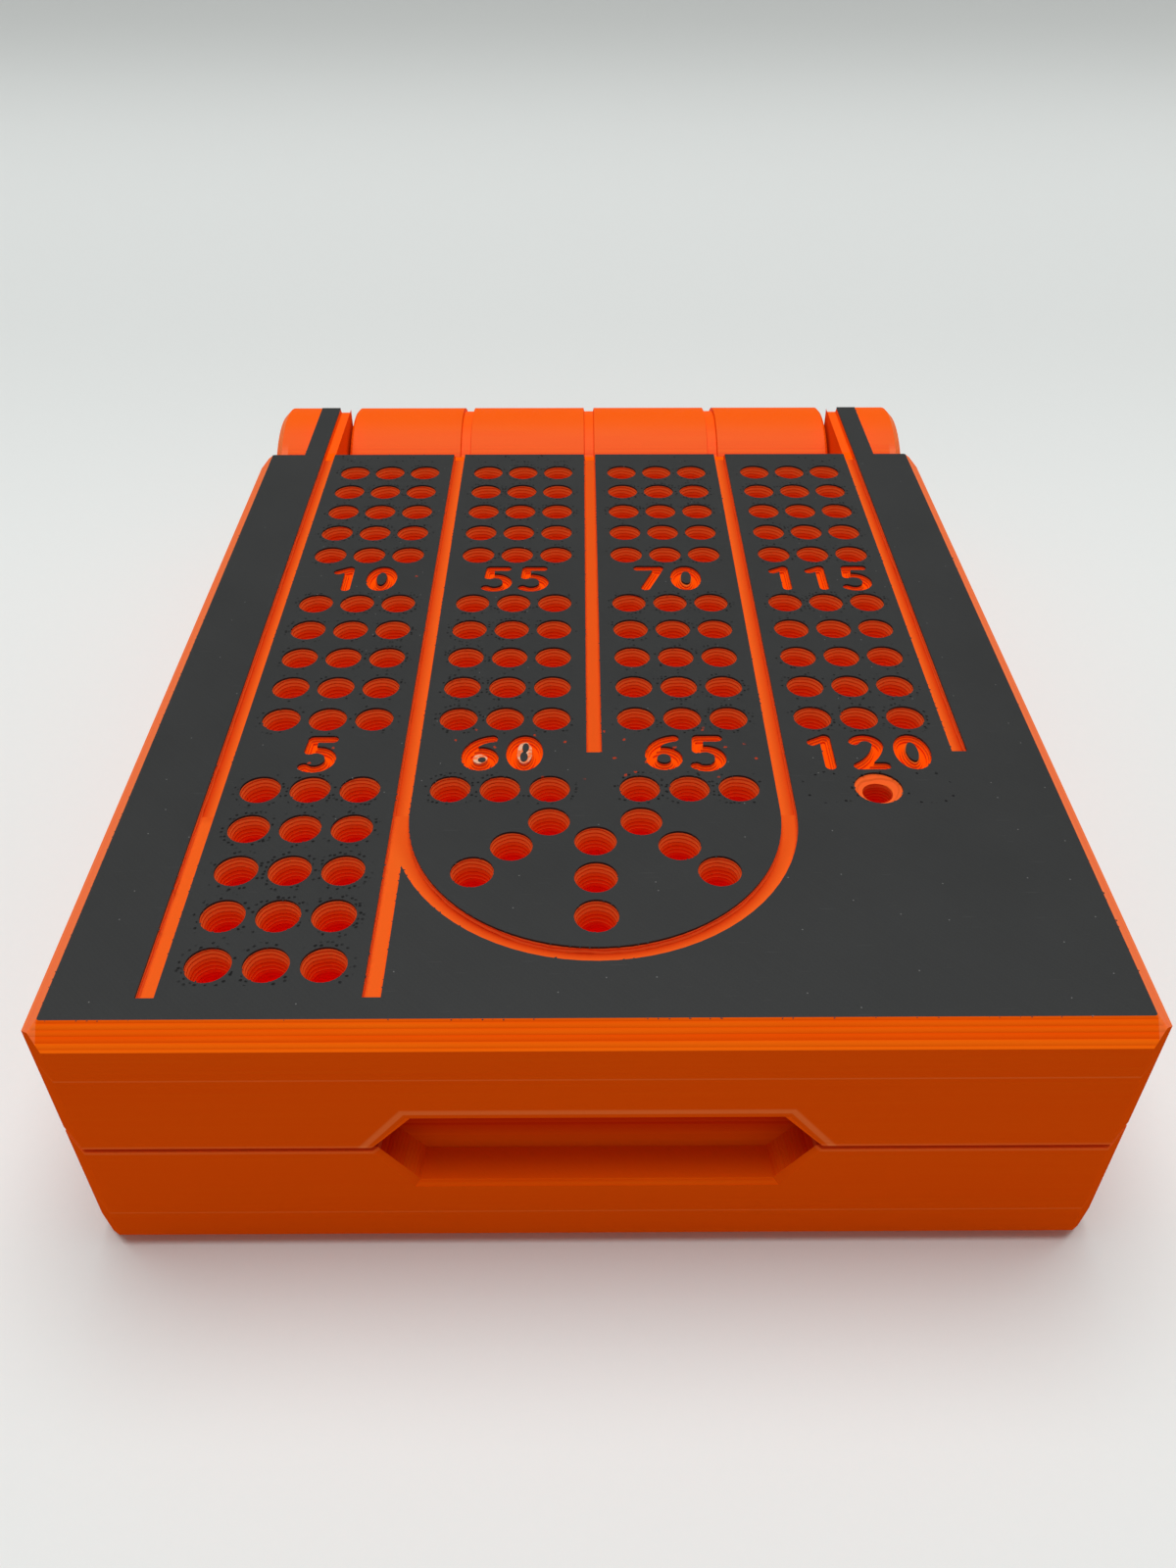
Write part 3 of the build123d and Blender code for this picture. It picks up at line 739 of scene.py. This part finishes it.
def random_vector(tree, low, high, seed):
    inputs = {0: low, 1: high, "Seed": seed}
    return grow(tree, "FunctionNodeRandomValue", {"data_type": "FLOAT_VECTOR"}, inputs).outputs[0]


def end_tree(tree, geometry, finish):
    """Gives the geometry its finish and hands it out of the tree."""
    painted = grow(tree, "GeometryNodeSetMaterial", None, {"Geometry": geometry, "Material": finish})
    grow(tree, "NodeGroupOutput", None, {0: painted.outputs[0]})


# %% The tree of nibs
def rim_steps(tree, given):
    """Points in equal steps along the sharp edges that lie at the face's level."""
    inputs = {"Geometry": given["Geometry"], "Distance": same_place}
    merged = grow(tree, "GeometryNodeMergeByDistance", None, inputs).outputs[0]
    angle = grow(tree, "GeometryNodeInputMeshEdgeAngle").outputs["Unsigned Angle"]
    place = grow(tree, "GeometryNodeInputPosition").outputs[0]
    height = grow(tree, "ShaderNodeSeparateXYZ", None, {0: place}).outputs["Z"]
    off_level = maths(tree, "ABSOLUTE", maths(tree, "SUBTRACT", height, given["Face level"]))
    at_level = maths(tree, "LESS_THAN", off_level, level_reach)
    rim = maths(tree, "MULTIPLY", maths(tree, "GREATER_THAN", angle, sharp_angle), at_level)
    rims = grow(tree, "GeometryNodeMeshToCurve", None, {"Mesh": merged, "Selection": rim}).outputs[0]
    inputs = {"Curve": rims, "Length": given["Step"]}
    return grow(tree, "GeometryNodeResampleCurve", {"mode": "LENGTH"}, inputs).outputs[0]


def strayed(tree, points, given):
    """The points, each pushed a little off its edge and sunk into the skin."""
    stray = vectors(tree, "SCALE", flat_only, given["Stray"])
    shift = random_vector(tree, vectors(tree, "SCALE", stray, -1.0), stray, given["Seed"])
    sunk = grow(tree, "ShaderNodeCombineXYZ", None, {2: given["Sunk"]}).outputs[0]
    inputs = {"Geometry": points, "Offset": vectors(tree, "ADD", shift, sunk)}
    return grow(tree, "GeometryNodeSetPosition", None, inputs).outputs[0]


def nib_tree():
    tree = tree_with_inputs("rim_nibs", {
        "Face level": ("NodeSocketFloat", 0.0),
        "Sunk": ("NodeSocketFloat", 0.0),
        "Step": ("NodeSocketFloat", 0.9 * mm),
        "Smallest": ("NodeSocketVector", (0.05 * mm, 0.04 * mm, 0.02 * mm)),
        "Largest": ("NodeSocketVector", (0.20 * mm, 0.13 * mm, 0.05 * mm)),
        "Stray": ("NodeSocketFloat", 0.06 * mm),
        "Seed": ("NodeSocketInt", 1),
        "Finish": ("NodeSocketMaterial", None),
    })
    given = grow(tree, "NodeGroupInput").outputs
    points = strayed(tree, rim_steps(tree, given), given)

    place = grow(tree, "GeometryNodeInputPosition").outputs[0]
    cloud = grow(tree, "ShaderNodeTexNoise", None, {"Vector": place, "Scale": 90.0, "Detail": 1.0})
    chance = grow(tree, "ShaderNodeMapRange", None,
                  {"Value": cloud.outputs[0], "From Min": 0.42, "From Max": 0.68, "To Max": 0.85})
    chosen = grow(tree, "FunctionNodeRandomValue", {"data_type": "BOOLEAN"},
                  {"Probability": chance.outputs[0], "Seed": given["Seed"]})
    lump = grow(tree, "GeometryNodeMeshIcoSphere", None, {"Radius": 1.0, "Subdivisions": 1})
    size = random_vector(tree, given["Smallest"], given["Largest"], given["Seed"])
    turn = random_vector(tree, (0.0, 0.0, 0.0), (0.0, 0.0, math.tau), given["Seed"])
    turned = grow(tree, "FunctionNodeEulerToRotation", None, {0: turn})
    lumps = grow(tree, "GeometryNodeInstanceOnPoints", None, {
        "Points": points, "Selection": chosen.outputs[3], "Instance": lump.outputs[0],
        "Rotation": turned.outputs[0], "Scale": size})
    real = grow(tree, "GeometryNodeRealizeInstances", None, {"Geometry": lumps.outputs[0]})
    end_tree(tree, real.outputs[0], given["Finish"])
    return tree


rim_nibs = nib_tree()
print("the tree of nibs has", len(rim_nibs.nodes), "nodes")

# %% Nibs on both playing faces
def skin_copy(name, skins):
    """The skins of one half as one mesh for the tree to read."""
    both = bmesh.new()
    for skin in skins:
        both.from_mesh(nodes[skin].data)
    bmesh.ops.remove_doubles(both, verts=both.verts, dist=same_place)
    mesh = bpy.data.meshes.new(name)
    both.to_mesh(mesh)
    both.free()
    return bpy.data.objects.new(name, mesh)


def add_nibs(name, skins, level, sunk, body, seed):
    source = skin_copy(name + "_source", skins)
    values = {"Face level": level, "Sunk": sunk, "Seed": seed, "Finish": charcoal}
    nibs = plain_mesh(source, rim_nibs, values, name)
    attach(nibs, body)
    print(name, len(nibs.data.vertices) // 12, "nibs,", len(nibs.data.polygons), "faces")
    return nibs


nib_sink = 0.055 * mm
add_nibs("upper_rim_nibs", ["upper_border_skin", "upper_island_skin"], play_face, -nib_sink, "upper", 4)
add_nibs("lower_rim_nibs", ["lower_border_skin", "lower_left_island_skin", "lower_right_island_skin"],
         table_face, nib_sink, "lower", 9)

# %% [markdown]
# ## Ragged centres in the numbers
# The centres of the noughts and sixes are tiny islands that a printer can hardly place. On the
# photographed board they are uneven blots, and two of them in the number 60 have been worn to
# a pale patch with only a little charcoal left; the patch's paleness is a painted highlight on
# the worn orange. A second tree puts a round plate on each point, takes its half sizes from the
# point's own "size" attribute, and pushes the edge about with a noise of X and Y alone, so that
# its sides stay upright.

# %% The tree of plates
def plate_tree():
    tree = tree_with_inputs("ragged_plates", {
        "Raggedness": ("NodeSocketFloat", 0.22 * mm),
        "Fineness": ("NodeSocketFloat", 900.0),
        "Finish": ("NodeSocketMaterial", None),
    })
    given = grow(tree, "NodeGroupInput").outputs
    disc = grow(tree, "GeometryNodeMeshCylinder", None, {"Vertices": 28, "Radius": 1.0, "Depth": 2.0})
    size = grow(tree, "GeometryNodeInputNamedAttribute", {"data_type": "FLOAT_VECTOR"}, {"Name": "size"})
    plates = grow(tree, "GeometryNodeInstanceOnPoints", None, {
        "Points": given["Geometry"], "Instance": disc.outputs["Mesh"], "Scale": size.outputs["Attribute"]})
    real = grow(tree, "GeometryNodeRealizeInstances", None, {"Geometry": plates.outputs[0]})

    place = grow(tree, "GeometryNodeInputPosition").outputs[0]
    cloud = grow(tree, "ShaderNodeTexNoise", None, {
        "Vector": vectors(tree, "MULTIPLY", place, flat_only), "Scale": given["Fineness"], "Detail": 1.0})
    push = vectors(tree, "SUBTRACT", cloud.outputs["Color"], (0.5, 0.5, 0.5))
    push = vectors(tree, "SCALE", vectors(tree, "MULTIPLY", push, flat_only), given["Raggedness"])
    pushed = grow(tree, "GeometryNodeSetPosition", None, {"Geometry": real.outputs[0], "Offset": push})
    end_tree(tree, pushed.outputs[0], given["Finish"])
    return tree


ragged_plates = plate_tree()
print("the tree of plates has", len(ragged_plates.nodes), "nodes")

# %% Blots, and worn patches with a painted highlight
worn_orange = (0.88, 0.15, 0.02, 1.0)
highlight_peach = (0.80, 0.42, 0.26, 1.0)
scratch_brown = (0.10, 0.05, 0.04, 1.0)


def scuffed_highlight_plastic(name):
    paint = new_paint(name)
    x, y, z = paint.place()
    clouds = paint.noise(paint.vector(x, y, z), 1.6, 3.0)
    scratches = paint.noise(paint.vector(x * 1.5, y * 7, z), 1.0, 2.0)
    # Painted highlight: pale peach clouds over the worn orange.
    colour = paint.blend(clouds.smooth(0.35, 0.6), worn_orange, highlight_peach)
    colour = paint.blend(scratches.smooth(0.58, 0.7) * 0.6, colour, scratch_brown)
    return paint.surface(Base_Color=colour, Roughness=0.6, Normal=paint.bump(scratches, 0.02 * mm))


def ragged_piece(name, places, low, high, finish):
    """One piece of plates between two levels. A place is (centre, half X, half Y)."""
    mesh = bpy.data.meshes.new(name + "_points")
    mesh.from_pydata([(centre.x, centre.y, (low + high) / 2) for centre, half_x, half_y in places], [], [])
    sizes = mesh.attributes.new("size", "FLOAT_VECTOR", "POINT")
    for n, (centre, half_x, half_y) in enumerate(places):
        sizes.data[n].vector = (half_x * mm, half_y * mm, (high - low) / 2)
    source = bpy.data.objects.new(name + "_points", mesh)
    made = plain_mesh(source, ragged_plates, {"Finish": finish}, name)
    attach(made, "upper")
    print(name, len(places), "plates,", len(made.data.polygons), "faces")
    return made


# %% Which blots and patches the centres have
def label_then_x(centre):
    """Numbers stand in rows 6 and 12, so a centre's row over six tells which, and then its X."""
    from_back = (deck_back - centre.y) / mm
    return round(from_back / row_pitch / label_rows[0]), centre.x


digit_centres = []
for corners in islands_at("upper_digit_centres", play_face):
    low_x, high_x = min(c.x for c in corners), max(c.x for c in corners)
    low_y, high_y = min(c.y for c in corners), max(c.y for c in corners)
    digit_centres.append(Vector(((low_x + high_x) / 2, (low_y + high_y) / 2, play_face)))
digit_centres.sort(key=label_then_x)
print("digit centres in mm", [[round(c.x / mm, 1), round(c.y / mm, 1)] for c in digit_centres])

# Each centre's blots as (right, up, half X, half Y) in mm, then its worn patch with its painted highlight,
# if any.
centre_wear_and_highlight = [
    ([(0.0, 0.0, 0.66, 1.55)], None),
    ([(0.05, 0.1, 0.66, 1.5)], None),
    ([(0.2, -0.2, 0.46, 0.42)], (0.80, 0.80)),
    ([(0.1, 0.85, 0.36, 0.8), (-0.05, -0.7, 0.42, 0.9)], (0.82, 1.85)),
    ([(0.0, 0.0, 0.74, 0.74)], None),
    ([(0.0, 0.0, 0.64, 1.6)], None),
]
patch_drop = 0.06 * mm
blots = []
patches = []
for centre, (own_blots, patch) in zip(digit_centres, centre_wear_and_highlight):
    for right, up, half_x, half_y in own_blots:
        blots.append((centre + Vector((right, up, 0)) * mm, half_x, half_y))
    if patch:
        patches.append((centre, *patch))
blot_piece = ragged_piece("upper_centre_blots", blots, skin_base, play_face, charcoal)
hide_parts("upper_digit_centres")
ragged_piece("upper_scuffed_highlight_plates", patches, skin_base, play_face - patch_drop,
             scuffed_highlight_plastic("scuffed_orange_highlight"))

# %% [markdown]
# ## The stage
# The board lies on a pale paper sweep in a light tent. The paper is one sheet that runs back
# flat and then curves up. A wide soft lamp overhead, a little behind the board, does nearly all
# the work: it lights the playing face and the hinge, and leaves the near wall about half as
# bright, lit mostly by the paper in front of it. The sky term fills the rest.

# %% Paper sweep
def paper_sweep(name):
    flat_back, curve, wall, side, front = 0.75, 0.45, 1.2, 1.6, 1.0
    curve_steps = 16
    profile = [(-front, 0.0), (0.0, 0.0), (flat_back, 0.0)]
    for n in range(1, curve_steps + 1):
        angle = math.radians(90 * n / curve_steps)
        profile.append((flat_back + curve * math.sin(angle), curve * (1 - math.cos(angle))))
    profile.append((flat_back + curve, wall))
    sheet = bmesh.new()
    rows = [[sheet.verts.new((x, y, z)) for y, z in profile] for x in (-side, side)]
    for n in range(len(profile) - 1):
        sheet.faces.new((rows[0][n], rows[1][n], rows[1][n + 1], rows[0][n + 1]))
    mesh = bpy.data.meshes.new(name)
    sheet.to_mesh(mesh)
    sheet.free()
    for face in mesh.polygons:
        face.use_smooth = True
    made = bpy.data.objects.new(name, mesh)
    bpy.context.scene.collection.objects.link(made)
    return made


paper_near = (0.79, 0.82, 0.81, 1.0)
paper_far_shade = (0.505, 0.525, 0.515, 1.0)
paper_fibre = (0.72, 0.72, 0.71, 1.0)


def paper(name):
    paint = new_paint(name)
    x, y, z = paint.place()
    fibres = paint.noise(paint.vector(x, y, z), 0.8, 4.0)
    # Painted shade: the paper darkens towards the back.
    distance_shade = 0.35 * y.smooth(30, 200) + 0.65 * y.smooth(280, 650)
    colour = paint.blend(distance_shade, paper_near, paper_far_shade)
    colour = paint.blend((fibres - 0.5) * 0.12 + 0.06, colour, paper_fibre)
    return paint.surface(Base_Color=colour, Roughness=0.9, Normal=paint.bump(fibres, 0.02 * mm))


sweep = paper_sweep("paper_sweep")
sweep.data.materials.append(paper("paper"))
print("paper sweep:", len(sweep.data.polygons), "faces")

# %% Lamp and sky
lamp_power = 2.5
lamp_spread = 52
lamp_back_tilt = 8
sky_level = 0.22

lamp_data = bpy.data.lights.new("tent_lamp", "SUN")
lamp_data.energy = lamp_power
lamp_data.angle = math.radians(lamp_spread)
lamp = bpy.data.objects.new("tent_lamp", lamp_data)
lamp.rotation_euler = (math.radians(-lamp_back_tilt), 0, 0)
lamp.location = (0, 0.2, 1.0)
bpy.context.scene.collection.objects.link(lamp)

world = bpy.data.worlds.new("tent")
bpy.context.scene.world = world
sky = Paint(world)
rays = sky.node("ShaderNodeLightPath").socket.node.outputs
seen = [Wire(sky, rays[name]) for name in ("Is Camera Ray", "Is Glossy Ray", "Is Transmission Ray")]
shown = seen[0].most(seen[1]).most(seen[2])
lit = sky.node("ShaderNodeBackground", None, {"Color": (1.0, 0.99, 0.97, 1.0), "Strength": sky_level})
pale = sky.node("ShaderNodeBackground", None, {"Color": (0.55, 0.56, 0.55, 1.0), "Strength": 1.0})
both = sky.node("ShaderNodeMixShader", None, {0: shown, 1: lit, 2: pale})
sky.node_out("ShaderNodeOutputWorld", both)
bpy.context.scene.view_settings.view_transform = "Standard"
print("lamp", lamp_power, "spread over", lamp_spread, "degrees, sky", sky_level)

# %% [markdown]
# The added pieces have to stay inside the model's own box.
